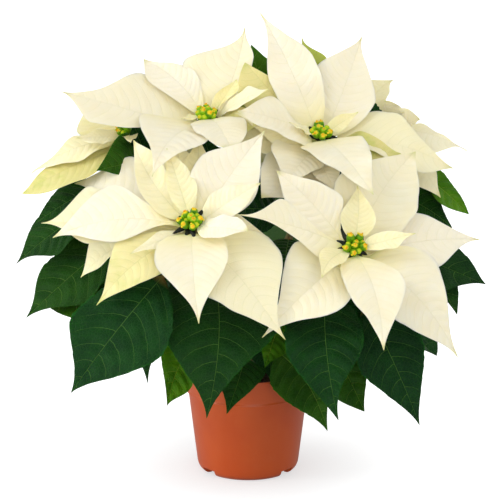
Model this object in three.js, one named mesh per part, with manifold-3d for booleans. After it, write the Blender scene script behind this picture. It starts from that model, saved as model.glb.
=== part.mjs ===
// A cream-bracted poinsettia growing in its plastic nursery pot.
// Millimetres, +Z up, the origin on the floor under the middle of the pot. +X is to the right and -Y
// is the front. Flower heads stand round the plant. Each has a domed cluster of cyathia, the true
// flowers, on the end of its branch and a whorl of bracts round the stem below the cluster.
import * as THREE from "three";
import { mergeVertices } from "three/addons/utils/BufferGeometryUtils.js";
import Module from "manifold-3d";

// The space kept between pieces that touch.
const GAP = 0.3;

// Pot: a 12 cm thin-wall nursery pot with a tall rim band and a notched foot ring. The notches lie
// in these directions, in degrees from +X.
const POT_HEIGHT = 104;
const POT_WALL = 1.6;
const POT_FACETS = 40;
const WALL_RADIUS_AT_FLOOR = 48.95;
const WALL_FLARE = 0.122;
const RIM_BAND_BOTTOM = 80;
const RIM_BAND_RADIUS = 59.7;
const RIM_TOP_RADIUS = 60.5;
const FLOOR_UNDERSIDE = 7;
const FLOOR_THICKNESS = 2;
const FOOT_INNER_RADIUS = 40;
const FOOT_FLAT_RADIUS = 44;
const FOOT_CORNER_HEIGHT = 6;
const FOOT_CORNER_INSET = 1.5;
const NOTCH_DIRECTIONS = [38, 142, 218, 322];
const NOTCH_WIDTH = 15;
const NOTCH_HEIGHT = 6.5;
const DRAIN_HOLES = 8;
const DRAIN_HOLE_RADIUS = 4;
const DRAIN_CIRCLE_RADIUS = 33;
const DRAIN_HOLE_FACETS = 12;

// Soil: the height of its top at the wall and round the trunk.
const SOIL_TOP_AT_WALL = 91;
const SOIL_TOP_AT_TRUNK = 94;

// Stems: the trunk is set in the soil and carries one branch for each flower head. A branch bows out
// of the trunk, then runs straight through the whorl of bracts to the cluster.
const TRUNK_RADIUS = 8;
const TRUNK_TOP_RADIUS = 6.5;
const TRUNK_BOTTOM = 45;
const TRUNK_TOP = 116;
const TRUNK_FACETS = 12;
const BRANCH_RADIUS = 3.6;
const BRANCH_FACETS = 8;
const BRANCH_STEPS = 12;
const BRANCH_START = 105;
const BRANCH_BOW_HEIGHT = 190;
const BRANCH_BOW_SHARE = 0.25;
const NECK_LENGTH = 36;
const NECK_CURVE = 30;
const CLUSTER_SEAT = 5;

// Cyathia: green cups on a cone-shaped receptacle, one in the middle and the rest in a ring.
const RECEPTACLE_RADIUS = 8.5;
const RECEPTACLE_EDGE = [-1, 0.5];
const RECEPTACLE_CROWN = 1.5;
const CUP_RADIUS = 3.6;
const CUP_HEIGHT = 8;
const CUP_FACETS = 6;
const CUPS_IN_RING = 6;
const CUP_RING_RADIUS = 7.6;
const CUP_LEAN = 0.25;

// Bracts and leaves: the stations along the midrib, half thicknesses, and half widths of the stalk and
// of the blunted tip. A stalk roots inside the stem, this far from the stem's axis.
const STATIONS = 9;
const BLADE_HALF_THICKNESS = 0.5;
const STALK_HALF_THICKNESS = 1.3;
const STALK_HALF_WIDTH = 1.4;
const STALK_TAPER = 0.25;
const TIP_HALF_WIDTH = 0.5;
const ARCH_LEAN = 0.85;
const FOLD = 0.1;
const ROOT_OFFSET = 2;
const SLOPE_STEP = 0.01;
const BRACT_STALK = 0.08;
const LEAF_STALK = 0.25;

// Flower heads: the middle of the cluster, and the way that it looks.
const HEADS = {
  front_left: { at: [-53, -95, 272], looks: [-0.12, -0.7, 0.7] },
  front_right: { at: [98, -100, 250], looks: [0.12, -0.72, 0.68] },
  top_left: { at: [-40, 30, 350], looks: [-0.1, -0.35, 0.93] },
  top_right: { at: [70, 15, 335], looks: [0.05, -0.5, 0.86] },
  far_left: { at: [-119, 45, 330], looks: [-0.5, -0.1, 0.85] },
  far_right: { at: [145, 75, 338], looks: [0.5, 0.1, 0.85] },
  back: { at: [5, 135, 305], looks: [0, 0.6, 0.8] },
};

// Bracts of each head, and leaves. down: how far below the cluster a bract's stalk leaves the stem.
// branch, along: the branch that a leaf grows on, and how far along its bowed part, from 0 to 1.
// tip: where the point lies. face: the way that the upper side looks. rise: how far the midrib arches
// off the straight line from stalk to tip. bend: how far it bows to the left. half: greatest half
// widths, left and right of the midrib. widest: where along the blade these lie. full: the roundness
// of the two sides, from 0.5 for a full belly to 1.3 for a slender one. stalk: the stalk's share of
// the length. fold: how steeply the two sides rise from the midrib.
const BRACTS = {
  front_left: [
    { down: 13, tip: [-44, -172, 195], face: [0, -0.7, 0.65], rise: 12, bend: -2,
      half: [33, 35], widest: [0.3, 0.3], full: [0.7, 0.8] },
    { down: 14, tip: [-182, -80, 252], face: [-0.1, -0.8, 0.6], rise: 8, bend: -12,
      half: [23, 26], widest: [0.5, 0.55], full: [1.3, 1.3] },
    { down: 26, tip: [-195, -50, 260], face: [-0.1, -0.6, 0.8], rise: 8,
      half: [20, 22], widest: [0.4, 0.4], full: [0.8, 0.8] },
    { down: 33, tip: [-169, 15, 285], face: [-0.2, -0.6, 0.8], rise: 8, bend: -6,
      half: [26, 46], widest: [0.4, 0.55], full: [0.8, 1.3] },
    { down: 11, tip: [-108, -30, 335], face: [0.2, -0.9, 0.3], rise: 4, bend: 8,
      half: [18, 11], widest: [0.3, 0.6], full: [0.7, 0.9], fold: 0.35 },
    { down: 18, tip: [16, -45, 347], face: [0, -0.85, 0.45], rise: 6,
      half: [34, 33], widest: [0.35, 0.35], full: [0.9, 0.8] },
    { down: 14, tip: [12, -88, 306], face: [0, -0.8, 0.5], rise: 4, bend: 1,
      half: [14, 13], widest: [0.45, 0.5], full: [0.8, 1.3] },
    { down: 10, tip: [0, -128, 270], face: [0, -0.7, 0.7], rise: 5, bend: -2,
      half: [13, 13], widest: [0.55, 0.4], full: [0.8, 0.8] },
    { down: 24, tip: [34, -165, 178], face: [0.25, -0.75, 0.6], rise: 12,
      half: [46, 46], widest: [0.3, 0.3], full: [0.7, 0.7] },
    { down: 19, tip: [-139, -125, 199], face: [-0.2, -0.7, 0.6], rise: 8, bend: -8,
      half: [29, 31], widest: [0.35, 0.35], full: [0.8, 1.3] },
    { down: 38, tip: [-157, -62, 211], face: [-0.3, -0.6, 0.6], rise: 14, bend: -10,
      half: [15, 15], widest: [0.4, 0.4], full: [0.8, 0.8], stalk: 0.35 },
  ],
  front_right: [
    { down: 21, tip: [13, -138, 172], face: [-0.2, -0.75, 0.6], rise: 9, bend: 1,
      half: [39, 39], widest: [0.35, 0.25], full: [1, 0.8], fold: 0.25 },
    { down: 11, tip: [-8, -118, 283], face: [0, -0.8, 0.5], rise: 5, bend: -4,
      half: [19, 20], widest: [0.25, 0.5], full: [1.3, 1.3] },
    { down: 15, tip: [27, -62, 312], face: [-0.1, -0.9, 0.3], rise: 2, bend: -3,
      half: [22, 23], widest: [0.45, 0.45], full: [1.3, 1.3], fold: 0.2 },
    { down: 9, tip: [102, -72, 300], face: [0, -0.95, 0.2], rise: 2, bend: -2,
      half: [15, 15], widest: [0.4, 0.4], full: [0.8, 0.8], fold: 0.3 },
    { down: 25, tip: [159, -26, 323], face: [0.2, -0.85, 0.4], rise: 5, bend: 6,
      half: [46, 36], widest: [0.4, 0.45], full: [0.8, 1.1] },
    { down: 31, tip: [220, -48, 242], face: [0.1, -0.7, 0.6], rise: 6, bend: 1,
      half: [36, 34], widest: [0.4, 0.35], full: [1, 1.3] },
    { down: 18, tip: [193, -135, 152], face: [0.3, -0.75, 0.55], rise: 15, bend: 7,
      half: [39, 34], widest: [0.3, 0.45], full: [0.8, 1.3], fold: 0.12 },
    { down: 10, tip: [122, -182, 173], face: [0.1, -0.7, 0.65], rise: 12, bend: 5,
      half: [28, 25], widest: [0.4, 0.3], full: [1.3, 0.7] },
  ],
  top_left: [
    { down: 28, tip: [-180, 22, 373], face: [-0.1, -0.6, 0.8], rise: 6, bend: -7,
      half: [35, 46], widest: [0.6, 0.3], full: [1.3, 1.3] },
    { down: 12, tip: [-89, -82, 310], face: [-0.1, -0.6, 0.8], rise: 9, bend: -10,
      half: [33, 46], widest: [0.35, 0.25], full: [1, 1] },
    { down: 9, tip: [-16, -42, 329], face: [0.1, -0.6, 0.8], rise: 9,
      half: [25, 26], widest: [0.45, 0.45], full: [0.5, 0.5] },
    { down: 19, tip: [20, 8, 377], face: [0.1, -0.5, 0.85], rise: 6, bend: 4,
      half: [13, 10], widest: [0.5, 0.55], full: [1.3, 1.3] },
    { down: 20, tip: [-3, 85, 426], face: [-0.1, -0.85, 0.4], rise: 5, bend: 12,
      half: [38, 28], widest: [0.3, 0.5], full: [1.3, 1.3] },
    { down: 14, tip: [-102, 68, 396], face: [0.1, -0.8, 0.5], rise: 4, bend: -8,
      half: [13, 17], widest: [0.45, 0.45], full: [1.3, 1.3], fold: 0.2 },
  ],
  top_right: [
    { down: 15, tip: [12, 78, 440], face: [0, -0.85, 0.4], rise: 6, bend: -4,
      half: [23, 25], widest: [0.4, 0.45], full: [1.3, 1.3] },
    { down: 14, tip: [-10, -20, 361], face: [-0.1, -0.6, 0.7], rise: 7, bend: -1,
      half: [24, 24], widest: [0.4, 0.6], full: [0.5, 1.3] },
    { down: 22, tip: [112, 82, 416], face: [0, -0.85, 0.4], rise: 6, bend: 1,
      half: [35, 35], widest: [0.4, 0.4], full: [1.3, 1.3] },
    { down: 32, tip: [197, -4, 303], face: [0.25, -0.55, 0.8], rise: 20, bend: 8,
      half: [43, 7], widest: [0.35, 0.6], full: [1, 1.3] },
    { down: 12, tip: [115, -106, 299], face: [0.1, -0.65, 0.75], rise: 12, bend: -1,
      half: [29, 29], widest: [0.3, 0.3], full: [0.5, 0.5] },
  ],
  far_left: [
    { down: 20, tip: [-219, 15, 273], face: [-0.3, -0.5, 0.7], rise: 12, bend: 3,
      half: [26, 24], widest: [0.5, 0.35], full: [1.3, 0.8] },
    { down: 14, tip: [-211, 28, 290], face: [-0.3, -0.5, 0.7], rise: 12, bend: -5,
      half: [17, 21], widest: [0.35, 0.3], full: [1.3, 1.3] },
  ],
  far_right: [
    { down: 14, tip: [214, 40, 312], face: [0.3, -0.4, 0.85], rise: 9, bend: 4,
      half: [20, 20], widest: [0.4, 0.4], full: [0.8, 0.8] },
  ],
  back: [
    { down: 14, tip: [109, 145, 272], face: [0, 0.6, 0.8], rise: 10,
      half: [28, 28], widest: [0.4, 0.4], full: [0.8, 0.8] },
    { down: 20, tip: [51, 189, 232], face: [0, 0.6, 0.8], rise: 9,
      half: [30, 30], widest: [0.4, 0.4], full: [0.8, 0.8] },
    { down: 22, tip: [-87, 163, 254], face: [0, 0.6, 0.8], rise: 10,
      half: [30, 30], widest: [0.4, 0.4], full: [0.8, 0.8] },
  ],
};

const LEAVES = {
  front_left_outer: {
    branch: "front_left", along: 0.92, tip: [-161, -150, 125], face: [-0.25, -0.75, 0.6],
    rise: 14,
    half: [46, 45], widest: [0.45, 0.45], full: [1.3, 1.3],
  },
  front_left: {
    branch: "front_left", along: 0.62, tip: [-37, -188, 113], face: [0.05, -0.7, 0.7],
    rise: 16, bend: 4,
    half: [46, 46], widest: [0.4, 0.3], full: [1.3, 0.5], stalk: 0.2,
  },
  front_right: {
    branch: "front_right", along: 0.69, tip: [82, -178, 108], face: [0, -0.7, 0.7],
    rise: 14, bend: -7,
    half: [36, 39], widest: [0.3, 0.35], full: [0.9, 0.8], stalk: 0.2,
  },
  front_right_outer: {
    branch: "front_right", along: 0.85, tip: [159, -135, 91], face: [0.25, -0.75, 0.6],
    rise: 12,
    half: [32, 32], widest: [0.35, 0.4], full: [0.8, 1.3], stalk: 0.3,
  },
  front_low: {
    branch: "front_right", along: 0.11, tip: [73, -125, 80], face: [-0.1, -0.8, 0.6],
    rise: 9, bend: 12,
    half: [24, 30], widest: [0.4, 0.4], full: [0.8, 1.2], stalk: 0.2,
  },
  left_low: {
    branch: "far_left", along: 0.67, tip: [-212, -45, 167], face: [-0.4, -0.6, 0.65],
    rise: 14, bend: -6,
    half: [21, 24], widest: [0.6, 0.45], full: [1.3, 1.1],
  },
  left_middle: {
    branch: "far_left", along: 0.78, tip: [-224, -10, 210], face: [-0.4, -0.5, 0.7],
    rise: 12, bend: 11,
    half: [46, 26], widest: [0.25, 0.55], full: [1.3, 1.3], stalk: 0.4,
  },
  right_high: {
    branch: "far_right", along: 0.95, tip: [216, 25, 250], face: [0.4, -0.5, 0.7],
    rise: 10, bend: -1,
    half: [17, 17], widest: [0.5, 0.6], full: [1.2, 1.3],
  },
  right_middle: {
    branch: "far_right", along: 0.67, tip: [199, 15, 239], face: [0.4, -0.6, 0.6],
    rise: 12, bend: 8,
    half: [21, 21], widest: [0.5, 0.25], full: [1.3, 0.8],
  },
  right_low: {
    branch: "far_right", along: 0.56, tip: [230, -15, 190], face: [0.4, -0.6, 0.6],
    rise: 12, bend: -3,
    half: [41, 46], widest: [0.4, 0.45], full: [1.1, 1.3],
  },
  back_right: {
    branch: "back", along: 0.9, tip: [60, 188, 150], face: [0.2, 0.8, 0.6],
    rise: 14,
    half: [38, 38], widest: [0.4, 0.4], full: [0.8, 0.8],
  },
  back_left: {
    branch: "back", along: 0.67, tip: [-70, 178, 135], face: [-0.3, 0.8, 0.6],
    rise: 14,
    half: [38, 38], widest: [0.4, 0.4], full: [0.8, 0.8],
  },
  side_right: {
    branch: "far_right", along: 0.62, tip: [150, 135, 140], face: [0.6, 0.6, 0.5],
    rise: 14,
    half: [36, 36], widest: [0.4, 0.4], full: [0.8, 0.8],
  },
  side_left: {
    branch: "far_left", along: 0.56, tip: [-165, 115, 150], face: [-0.6, 0.6, 0.5],
    rise: 14,
    half: [36, 36], widest: [0.4, 0.4], full: [0.8, 0.8],
  },
};

// Closed meshes go to manifold-3d for cutting and joining with only their corners, and come back.
const wasm = await Module();
wasm.setup();

function solidOf(geometry) {
  const bare = geometry.clone();
  bare.deleteAttribute("normal");
  bare.deleteAttribute("uv");
  const merged = mergeVertices(bare, 1e-3);
  return new wasm.Manifold(
    new wasm.Mesh({
      numProp: 3,
      vertProperties: merged.attributes.position.array,
      triVerts: new Uint32Array(merged.index.array),
    }),
  );
}

function geometryOf(solid) {
  const mesh = solid.getMesh();
  const geometry = new THREE.BufferGeometry();
  geometry.setAttribute("position", new THREE.BufferAttribute(mesh.vertProperties, mesh.numProp));
  geometry.setIndex(new THREE.BufferAttribute(mesh.triVerts, 1));
  geometry.computeVertexNormals();
  return geometry;
}

function namedMesh(name, geometry, color, roughness) {
  const material = new THREE.MeshStandardMaterial({ color, roughness, metalness: 0 });
  const mesh = new THREE.Mesh(geometry, material);
  mesh.name = name;
  return mesh;
}

// A turned solid standing on +Z, from the radii and heights of its outline.
function turned(outline, facets) {
  const points = outline.map(([radius, height]) => new THREE.Vector2(radius, height));
  return new THREE.LatheGeometry(points, facets).rotateX(Math.PI / 2);
}

// ---- Pot and soil

const wallRadius = (height) => WALL_RADIUS_AT_FLOOR + WALL_FLARE * height;
const FLOOR_TOP = FLOOR_UNDERSIDE + FLOOR_THICKNESS;

function potSolid() {
  const shell = turned(
    [
      [0, FLOOR_UNDERSIDE],
      [FOOT_INNER_RADIUS, FLOOR_UNDERSIDE],
      [FOOT_INNER_RADIUS, 0],
      [FOOT_FLAT_RADIUS, 0],
      [wallRadius(0) - FOOT_CORNER_INSET, FOOT_CORNER_HEIGHT / 3],
      [wallRadius(FOOT_CORNER_HEIGHT), FOOT_CORNER_HEIGHT],
      [wallRadius(RIM_BAND_BOTTOM), RIM_BAND_BOTTOM],
      [RIM_BAND_RADIUS, RIM_BAND_BOTTOM],
      [RIM_TOP_RADIUS, POT_HEIGHT],
      [RIM_TOP_RADIUS - POT_WALL, POT_HEIGHT],
      [RIM_BAND_RADIUS - POT_WALL, RIM_BAND_BOTTOM + POT_WALL],
      [wallRadius(RIM_BAND_BOTTOM) - POT_WALL, RIM_BAND_BOTTOM],
      [wallRadius(FLOOR_TOP) - POT_WALL, FLOOR_TOP],
      [0, FLOOR_TOP],
    ],
    POT_FACETS,
  );
  let pot = solidOf(shell);
  for (const direction of NOTCH_DIRECTIONS) {
    const notch = new THREE.BoxGeometry(2 * POT_HEIGHT, NOTCH_WIDTH, 2 * NOTCH_HEIGHT)
      .translate(POT_HEIGHT, 0, 0)
      .rotateZ(THREE.MathUtils.degToRad(direction));
    pot = pot.subtract(solidOf(notch));
  }
  for (let i = 0; i < DRAIN_HOLES; i += 1) {
    const drill = [DRAIN_HOLE_RADIUS, DRAIN_HOLE_RADIUS, 4 * FLOOR_TOP, DRAIN_HOLE_FACETS];
    const hole = new THREE.CylinderGeometry(...drill)
      .rotateX(Math.PI / 2)
      .translate(DRAIN_CIRCLE_RADIUS, 0, 0)
      .rotateZ((i / DRAIN_HOLES) * 2 * Math.PI);
    pot = pot.subtract(solidOf(hole));
  }
  return pot;
}

function soilGeometry() {
  const inside = (height) => wallRadius(height) - POT_WALL - GAP;
  const socket = TRUNK_RADIUS + GAP;
  return turned(
    [
      [0, FLOOR_TOP + GAP],
      [inside(FLOOR_TOP), FLOOR_TOP + GAP],
      [inside(RIM_BAND_BOTTOM), RIM_BAND_BOTTOM],
      [inside(RIM_BAND_BOTTOM), SOIL_TOP_AT_WALL],
      [socket, SOIL_TOP_AT_TRUNK],
      [socket, TRUNK_BOTTOM - GAP],
      [0, TRUNK_BOTTOM - GAP],
    ],
    POT_FACETS,
  );
}

// ---- Stems

const vector = (xyz) => new THREE.Vector3(...xyz);
const lookOf = (head) => vector(head.looks).normalize();
const below = (head, distance) => vector(head.at).addScaledVector(lookOf(head), -distance);

function bowOf(head) {
  const start = new THREE.Vector3(0, 0, BRANCH_START);
  const over = new THREE.Vector3(
    BRANCH_BOW_SHARE * head.at[0],
    BRANCH_BOW_SHARE * head.at[1],
    BRANCH_BOW_HEIGHT,
  );
  const run = below(head, NECK_LENGTH + NECK_CURVE);
  return new THREE.CubicBezierCurve3(start, over, run, below(head, NECK_LENGTH));
}

function branchSolid(head, radius) {
  const path = new THREE.CurvePath();
  path.add(bowOf(head));
  path.add(new THREE.LineCurve3(below(head, NECK_LENGTH), below(head, CLUSTER_SEAT + GAP)));
  const outline = new THREE.Shape();
  for (let i = 0; i < BRANCH_FACETS; i += 1) {
    const angle = (i / BRANCH_FACETS) * 2 * Math.PI;
    const x = radius * Math.cos(angle);
    const y = radius * Math.sin(angle);
    if (i === 0) outline.moveTo(x, y);
    else outline.lineTo(x, y);
  }
  outline.closePath();
  const options = { steps: BRANCH_STEPS, bevelEnabled: false, extrudePath: path };
  return solidOf(new THREE.ExtrudeGeometry(outline, options));
}

function stemsSolid(grown) {
  const trunk = turned(
    [
      [0, TRUNK_BOTTOM],
      [TRUNK_RADIUS + grown, TRUNK_BOTTOM],
      [TRUNK_TOP_RADIUS + grown, TRUNK_TOP - TRUNK_TOP_RADIUS],
      [0, TRUNK_TOP],
    ],
    TRUNK_FACETS,
  );
  let stems = solidOf(trunk);
  for (const head of Object.values(HEADS)) stems = stems.add(branchSolid(head, BRANCH_RADIUS + grown));
  return stems;
}

// ---- Bracts and leaves

// A blade is a block whose width, length and thickness are bent along an arched midrib. The half width
// at x along the blade is half * (x / m)^f * ((1 - x) / (1 - m))^(f (1 - m) / m), which is greatest at m.
function sideWidth(x, half, widest, full) {
  const fall = (full * (1 - widest)) / widest;
  return half * (x / widest) ** full * ((1 - x) / (1 - widest)) ** fall;
}

function bladeGeometry(base, row, stalk) {
  const tip = vector(row.tip);
  const run = tip.clone().sub(base);
  const along = run.clone().normalize();
  const up = vector(row.face).projectOnPlane(along).normalize();
  const left = up.clone().cross(along);
  const midrib = (t) => {
    const arch = t ** ARCH_LEAN;
    return base
      .clone()
      .addScaledVector(run, t)
      .addScaledVector(up, 4 * row.rise * arch * (1 - arch))
      .addScaledVector(left, 4 * (row.bend ?? 0) * t * (1 - t));
  };
  const block = new THREE.BoxGeometry(2, 1, 2, 2, STATIONS - 1, 1);
  const corners = block.attributes.position;
  for (let i = 0; i < corners.count; i += 1) {
    const station = Math.round((corners.getY(i) + 0.5) * (STATIONS - 1));
    const x = Math.max(0, (station - 1) / (STATIONS - 2));
    const t = station === 0 ? 0 : stalk + (1 - stalk) * x;
    const side = -Math.sign(Math.round(corners.getX(i)));
    const k = side > 0 ? 0 : 1;
    const root = Math.max(0, 1 - x / STALK_TAPER);
    const width =
      sideWidth(x, row.half[k], row.widest[k], row.full[k]) + STALK_HALF_WIDTH * root + TIP_HALF_WIDTH;
    const thickness = BLADE_HALF_THICKNESS + (STALK_HALF_THICKNESS - BLADE_HALF_THICKNESS) * root;
    const ahead = midrib(Math.min(1, t + SLOPE_STEP)).sub(midrib(Math.max(0, t - SLOPE_STEP)));
    const outward = ahead.cross(left).normalize();
    const height = width * (row.fold ?? FOLD) * Math.abs(side) + thickness * Math.sign(corners.getZ(i));
    const point = midrib(t).addScaledVector(left, side * width).addScaledVector(outward, height);
    corners.setXYZ(i, point.x, point.y, point.z);
  }
  return block;
}

// The stalk's root: just inside the stem at a point of its axis, on the side of the tip.
function rootPoint(onAxis, axis, tip) {
  const towards = vector(tip).sub(onAxis).projectOnPlane(axis).normalize();
  return onAxis.clone().addScaledVector(towards, ROOT_OFFSET);
}

function bractSolid(head, row) {
  const base = rootPoint(below(head, row.down), lookOf(head), row.tip);
  return solidOf(bladeGeometry(base, row, row.stalk ?? BRACT_STALK));
}

function leafSolid(row) {
  const bow = bowOf(HEADS[row.branch]);
  const base = rootPoint(bow.getPoint(row.along), bow.getTangent(row.along), row.tip);
  return solidOf(bladeGeometry(base, row, row.stalk ?? LEAF_STALK));
}

// ---- Cyathia

function clusterSolid() {
  const receptacle = turned(
    [
      [0, -CLUSTER_SEAT],
      [BRANCH_RADIUS, -CLUSTER_SEAT],
      [RECEPTACLE_RADIUS, RECEPTACLE_EDGE[0]],
      [RECEPTACLE_RADIUS, RECEPTACLE_EDGE[1]],
      [0, RECEPTACLE_CROWN],
    ],
    BRANCH_FACETS,
  );
  const cupOutline = [
    [0, 0],
    [0.6 * CUP_RADIUS, 0],
    [CUP_RADIUS, 0.5 * CUP_HEIGHT],
    [0.75 * CUP_RADIUS, CUP_HEIGHT],
    [0, CUP_HEIGHT],
  ];
  let cluster = solidOf(receptacle).add(solidOf(turned(cupOutline, CUP_FACETS)));
  for (let i = 0; i < CUPS_IN_RING; i += 1) {
    const cup = turned(cupOutline, CUP_FACETS)
      .rotateY(CUP_LEAN)
      .translate(CUP_RING_RADIUS, 0, RECEPTACLE_EDGE[0])
      .rotateZ((i / CUPS_IN_RING) * 2 * Math.PI);
    cluster = cluster.add(solidOf(cup));
  }
  return cluster;
}

// ---- Assembly

const CREAM = 0xf6f3dc;
const LEAF_GREEN = 0x1f4a24;
const STEM_GREEN = 0x5b7d3a;
const CUP_GREEN = 0x6f9b2e;
const TERRACOTTA = 0xb8562f;
const PEAT = 0x2e2119;

const group = new THREE.Group();
group.add(namedMesh("pot", geometryOf(potSolid()), TERRACOTTA, 0.45));
group.add(namedMesh("soil", soilGeometry(), PEAT, 0.95));
group.add(namedMesh("stems", geometryOf(stemsSolid(0)), STEM_GREEN, 0.6));

const stemsAndGap = stemsSolid(GAP);
const cyathia = geometryOf(clusterSolid());
for (const [name, head] of Object.entries(HEADS)) {
  const cluster = namedMesh(`cyathia_${name}`, cyathia, CUP_GREEN, 0.5);
  cluster.position.copy(vector(head.at));
  cluster.quaternion.setFromUnitVectors(new THREE.Vector3(0, 0, 1), lookOf(head));
  group.add(cluster);
  BRACTS[name].forEach((row, i) => {
    const bract = bractSolid(head, row).subtract(stemsAndGap);
    group.add(namedMesh(`bract_${name}_${i + 1}`, geometryOf(bract), CREAM, 0.6));
  });
}
for (const [name, row] of Object.entries(LEAVES)) {
  const leaf = leafSolid(row).subtract(stemsAndGap);
  group.add(namedMesh(`leaf_${name}`, geometryOf(leaf), LEAF_GREEN, 0.5));
}

export default group;
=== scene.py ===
import bpy
import numpy as np
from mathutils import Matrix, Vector


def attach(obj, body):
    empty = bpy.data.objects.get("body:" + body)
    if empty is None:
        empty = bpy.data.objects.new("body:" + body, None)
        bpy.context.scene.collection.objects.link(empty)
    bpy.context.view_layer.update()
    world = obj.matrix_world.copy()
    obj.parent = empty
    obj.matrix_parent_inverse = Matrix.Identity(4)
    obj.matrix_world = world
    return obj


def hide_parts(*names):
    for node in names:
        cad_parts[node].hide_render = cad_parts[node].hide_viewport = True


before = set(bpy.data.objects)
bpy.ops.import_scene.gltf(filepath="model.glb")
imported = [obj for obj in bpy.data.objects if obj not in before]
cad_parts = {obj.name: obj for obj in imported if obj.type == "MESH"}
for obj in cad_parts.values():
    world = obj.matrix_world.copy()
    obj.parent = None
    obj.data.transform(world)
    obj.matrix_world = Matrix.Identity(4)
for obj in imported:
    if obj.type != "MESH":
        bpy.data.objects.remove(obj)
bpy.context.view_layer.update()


# ----------
# Camera, studio light and floor. A long lens looks slightly down on the plant. A large soft box at the
# upper left is the main light, others fill in from the front and low at the pot's sides, and so does a
# pale room. Only the camera sees the room as pure white, and the floor's glow that fades into it.
camera_place = (0.002, -2.1347, 0.7525)
camera_aim = (0.002, 0.0, 0.2203)
camera_lens = 163.4
room_light = 0.66
floor_size = 40.0
floor_grey = (0.46, 0.47, 0.48, 1)
glow_start, glow_end = 0.05, 0.23
glow_near, glow_far = 0.58, 0.95

scene = bpy.context.scene
scene.view_settings.view_transform = "Standard"


def turn_towards(thing, place, aim):
    """Places a camera or lamp, and turns its -Z axis to the point that it aims at."""
    thing.location = place
    thing.rotation_euler = (Vector(aim) - Vector(place)).to_track_quat("-Z", "Y").to_euler()
    scene.collection.objects.link(thing)


def soft_box(name, place, size, power, aim=(0.0, 0.0, 0.2)):
    """A square lamp of that size in metres and power in watts."""
    lamp = bpy.data.lights.new(name, "AREA")
    lamp.size = size
    lamp.energy = power
    turn_towards(bpy.data.objects.new(name, lamp), place, aim)


def colour(red, green, blue):
    """A screen colour, 0 to 255 a channel, as the linear colour that a shader takes."""
    share = np.array([red, green, blue]) / 255
    linear = np.where(share < 0.04045, share / 12.92, ((share + 0.055) / 1.055) ** 2.4)
    return (*linear.tolist(), 1.0)


def node(tree, kind, inputs=(), **settings):
    """Adds a shader node. An input is given by name or number, as a value or as an output to link."""
    made = tree.nodes.new("ShaderNode" + kind)
    for name, value in settings.items():
        setattr(made, name, value)
    for name, value in dict(inputs).items():
        if isinstance(value, bpy.types.NodeSocket):
            tree.links.new(value, made.inputs[name])
        else:
            made.inputs[name].default_value = value
    return made


def ranged(tree, value, start, end, first, last, kind="LINEAR"):
    """A value from the range of start to end, carried over to the range of first to last."""
    inputs = {"Value": value, "From Min": start, "From Max": end, "To Min": first, "To Max": last}
    return node(tree, "MapRange", inputs, interpolation_type=kind).outputs[0]


def surface(name, **inputs):
    """A new material with one Principled shader, and the tree that its other nodes go in."""
    material = bpy.data.materials.new(name)
    material.use_nodes = True
    shader = material.node_tree.nodes["Principled BSDF"]
    for key, value in inputs.items():
        shader.inputs[key.replace("_", " ")].default_value = value
    return material, material.node_tree, shader


camera = bpy.data.objects.new("camera", bpy.data.cameras.new("camera"))
camera.data.lens = camera_lens
turn_towards(camera, camera_place, camera_aim)
scene.camera = camera

soft_box("key_light", (-2.1, -1.7, 2.3), 1.4, 24)
soft_box("fill_light", (1.2, -2.0, 2.4), 1.6, 15)
soft_box("front_light", (0.4, -2.6, 0.9), 1.0, 12)
soft_box("low_light", (-1.5, -0.4, 0.3), 0.5, 10.5, aim=(0.0, 0.0, 0.05))
soft_box("rim_light", (1.4, 0.9, 0.35), 0.5, 4, aim=(0.0, 0.0, 0.1))

scene.world = bpy.data.worlds.new("pale room")
scene.world.use_nodes = True
tree = scene.world.node_tree
room = tree.nodes["Background"].inputs
room["Color"].default_value = (1, 1, 1, 1)
seen = node(tree, "LightPath").outputs["Is Camera Ray"]
tree.links.new(ranged(tree, seen, 0.0, 1.0, room_light, 1.0), room["Strength"])

half = floor_size / 2
floor_corners = [(-half, -half, 0), (half, -half, 0), (half, half, 0), (-half, half, 0)]
floor_mesh = bpy.data.meshes.new("floor")
floor_mesh.from_pydata(floor_corners, [], [(0, 1, 2, 3)])
floor = bpy.data.objects.new("floor", floor_mesh)
scene.collection.objects.link(floor)
board, tree, shader = surface("matt white board", Roughness=0.8, Specular_IOR_Level=0.1,
                              Base_Color=floor_grey, Emission_Color=(1, 1, 1, 1))
spot = node(tree, "TexCoord").outputs["Object"]
distance = node(tree, "VectorMath", {0: spot}, operation="LENGTH").outputs["Value"]
glow = ranged(tree, distance, glow_start, glow_end, glow_near, glow_far)
seen = node(tree, "LightPath").outputs["Is Camera Ray"]
lit = node(tree, "Math", {0: glow, 1: seen}, operation="MULTIPLY")
tree.links.new(lit.outputs[0], shader.inputs["Emission Strength"])
floor_mesh.materials.append(board)


# ----------
# Pot. A 12 cm nursery pot, injection moulded in satin terracotta-coloured plastic: a thin tapered wall
# with a tall rim band, a foot ring with four notches that let water out, and eight drain holes.
pot_height = 104
pot_wall = 1.6
wall_foot_radius = 48.95
wall_slope = 0.122
rim_band_bottom = 80
rim_band_radius = 59.7
bead_height = 0.8
bead_size = 0.8
bead_slope = 1.4
rim_top_radius = 60.5
floor_underside = 7
floor_top = 9
foot_inner_radius = 40
foot_flat_radius = 44
foot_corner_inset = 1.5
foot_corner_height = 6
notch_width = 15
notch_height = 6.5
drain_circle_radius = 33
drain_hole_radius = 4
pot_crease = 40


def wall_radius(height):
    """The outer radius of the tapered wall at a height."""
    return wall_foot_radius + wall_slope * height


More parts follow.
